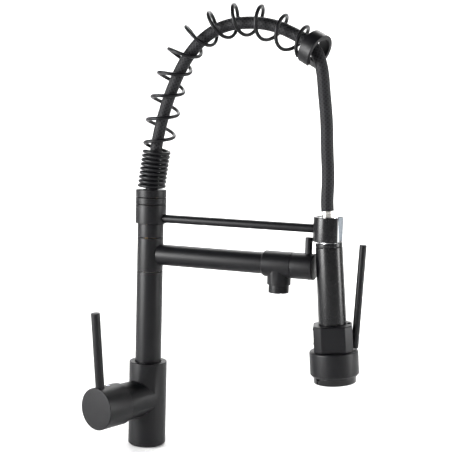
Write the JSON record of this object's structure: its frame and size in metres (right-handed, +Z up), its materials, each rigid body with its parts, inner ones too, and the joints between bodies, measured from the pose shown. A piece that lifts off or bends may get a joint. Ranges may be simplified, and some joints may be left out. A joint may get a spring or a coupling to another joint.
{
  "type": "pull-down kitchen faucet",
  "caption": "Pull-down kitchen faucet with side lever, column, valved swivel spout and a spring-arched spray hose docked in a clip arm.",
  "frame": {"origin": "middle of the base's flat underside, where it meets the deck", "axes": "+Z up along the column, +X from the column towards the spout's and docking arm's ends"},
  "size_m": [0.3085, 0.1201, 0.5217],
  "materials": {
    "matte_black": "matte powder coat",
    "satin_black": "satin coat",
    "brass": "machined",
    "chrome": "polished",
    "stainless_steel": "turned",
    "black_spring_steel": "satin coat",
    "black_rubber": "moulded",
    "white_acetal": "moulded",
    "braided_hose": "braided sleeve"
  },
  "bodies": {
    "body": {"base_body": "matte_black", "deck_seal": "black_rubber", "column_tube": "matte_black", "column_bush": "white_acetal", "riser_tube": "brass", "upper_sleeve": "matte_black", "seal_low": "black_rubber", "seal_high": "black_rubber", "cartridge_body": "white_acetal", "cartridge_nut": "brass"},
    "cartridge_spindle": {"cartridge_rotor": "white_acetal"},
    "lever": {"cartridge_stem": "stainless_steel", "handle_cap": "matte_black", "handle_lever": "matte_black", "indicator_ring": "chrome", "handle_set_screw": "stainless_steel"},
    "spout": {"spout_arm": "matte_black", "spout_tee": "matte_black", "aerator_housing": "matte_black", "aerator_insert": "brass"},
    "spout_valve": {"valve_core": "brass", "valve_knob": "matte_black", "valve_lever": "matte_black", "valve_set_screw": "chrome"},
    "dock": {"dock_collar": "matte_black", "dock_bush": "white_acetal", "collar_ring": "matte_black", "spring_seat": "matte_black", "hose_nut": "brass", "dock_rod": "matte_black", "dock_clip": "satin_black", "spring": "black_spring_steel", "hose": "braided_hose"},
    "head": {"spring_end_ring": "matte_black", "hose_ferrule": "stainless_steel", "head_neck": "chrome", "grip_ring": "satin_black", "grip_tube": "satin_black", "water_tube": "white_acetal", "head_block": "matte_black", "block_plug": "chrome", "trigger_pin": "stainless_steel", "rocker_pin": "stainless_steel", "spray_bell": "matte_black", "nozzle_ring": "satin_black", "spray_plate": "black_rubber"},
    "trigger": {"trigger_lever": "matte_black"},
    "rocker": {"mode_rocker": "satin_black"}
  },
  "joints": [
    {"name": "handle_turn", "type": "hinge", "parent": "body", "child": "cartridge_spindle", "pos_m": [0, 0, 0.0577], "axis": [-0.2857, -0.9583, 0], "range_deg": [-50, 50]},
    {"name": "handle_lift", "type": "hinge", "parent": "cartridge_spindle", "child": "lever", "pos_m": [-0.01029, -0.0345, 0.0577], "axis": [0.9583, -0.2857, 0], "range_deg": [0, 20]},
    {"name": "spout_swivel", "type": "hinge", "parent": "body", "child": "spout", "pos_m": [0, 0, 0.23], "axis": [0, 0, 1], "continuous": true},
    {"name": "spout_valve_turn", "type": "hinge", "parent": "spout", "child": "spout_valve", "pos_m": [0.19, 0, 0.2305], "axis": [1, 0, 0], "range_deg": [0, 90]},
    {"name": "dock_swivel", "type": "hinge", "parent": "body", "child": "dock", "pos_m": [0, 0, 0.278], "axis": [0, 0, 1], "range_deg": [-150, 150]},
    {"name": "head_pull", "type": "slide", "parent": "dock", "child": "head", "axis": [0.075, 0.0229, -0.9969], "range_m": [0, 0.09], "stiffness_N_per_m": 60, "springref_m": -0.22, "deforming": ["spring", "hose"]},
    {"name": "trigger_squeeze", "type": "hinge", "parent": "head", "child": "trigger", "pos_m": [0.24165, 0.00662, 0.15802], "axis": [0.2924, -0.9563, 0], "range_deg": [0, 8], "stiffness_Nm_per_rad": 0.6, "springref_deg": -11.46},
    {"name": "mode_rock", "type": "hinge", "parent": "head", "child": "rocker", "pos_m": [0.21697, -0.00093, 0.15449], "axis": [-0.2924, 0.9563, 0], "range_deg": [0, 6]}
  ]
}
